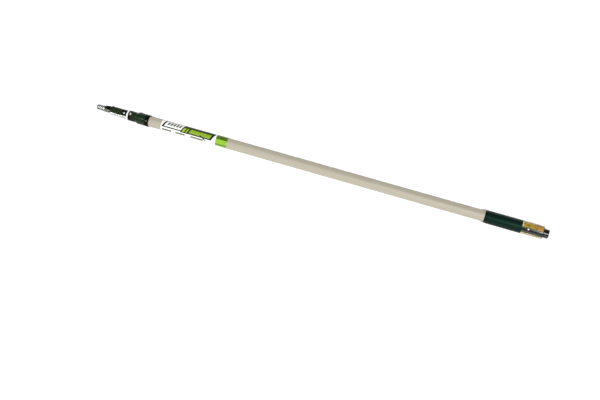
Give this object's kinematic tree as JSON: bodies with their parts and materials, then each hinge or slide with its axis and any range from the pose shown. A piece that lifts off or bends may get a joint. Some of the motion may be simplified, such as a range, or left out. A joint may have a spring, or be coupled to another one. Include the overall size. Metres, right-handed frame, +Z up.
{
  "type": "roller extension pole",
  "caption": "Telescopic pole for paint rollers: fibreglass outer tube with grip, push-button collar lock, sliding aluminium pole and a threaded tip with a latch lever.",
  "frame": {"origin": "on the floor under the middle of the closed pole, which lies on its side", "axes": "+X along the pole from the threaded tip to the butt, +Y to the side of the lever and the lock button, +Z up"},
  "size_m": [1.25, 0.0336, 0.0336],
  "materials": {
    "fibreglass": "beige pultruded fibreglass, satin, fine lengthwise grain",
    "grip_rubber": "dark green matt soft grip",
    "grip_label_print": "glossy printed film, plain yellow and orange blocks",
    "pole_label_print": "glossy printed film, white with plain green blocks",
    "black_plastic": "black moulded plastic, slight gloss",
    "green_plastic": "dark green moulded plastic, slight gloss",
    "navy_plastic": "dark blue-black moulded plastic, satin",
    "aluminium": "satin drawn aluminium",
    "cast_zinc": "cast and machined zinc alloy, satin",
    "pin_steel": "plated steel, polished",
    "rivet_steel": "plated steel, satin",
    "spring_steel": "spring steel",
    "light_nylon": "off-white nylon, satin"
  },
  "bodies": {
    "handle": {"outer_tube": "fibreglass", "grip": "grip_rubber", "grip_label": "grip_label_print", "pole_label": "pole_label_print", "butt_cap": "black_plastic", "front_ring": "black_plastic", "lock_housing": "green_plastic", "collar_band": "black_plastic", "collar_rivet_upper": "rivet_steel", "collar_rivet_lower": "rivet_steel", "lock_spring": "spring_steel"},
    "lock": {"lock_yoke": "black_plastic", "lock_tooth": "pin_steel", "lock_button": "navy_plastic"},
    "inner_pole": {"inner_tube": "aluminium", "stop_ring": "light_nylon", "pole_guide": "light_nylon", "threaded_tip": "cast_zinc", "tip_rivet_upper": "rivet_steel", "tip_rivet_lower": "rivet_steel", "lever_pin": "pin_steel", "lever_pin_clip": "spring_steel", "lever_spring": "spring_steel"},
    "lever": {"lever_arm": "black_plastic", "lever_cover": "green_plastic"}
  },
  "joints": [
    {"name": "pole_slide", "type": "slide", "parent": "handle", "child": "inner_pole", "axis": [-1, 0, 0], "range_m": [0, 0.9144]},
    {"name": "lock_button_press", "type": "slide", "parent": "handle", "child": "lock", "axis": [0, -1, 0], "range_m": [0, 0.0015], "stiffness_N_per_m": 3000, "springref_m": -0.002, "deforming": ["lock_spring"]},
    {"name": "tip_lever_press", "type": "hinge", "parent": "inner_pole", "child": "lever", "pos_m": [-0.543, 0.002, 0.0168], "axis": [0, 0, 1], "range_deg": [0, 3], "stiffness_Nm_per_rad": 3, "springref_deg": -4.58, "deforming": ["lever_spring"]}
  ]
}
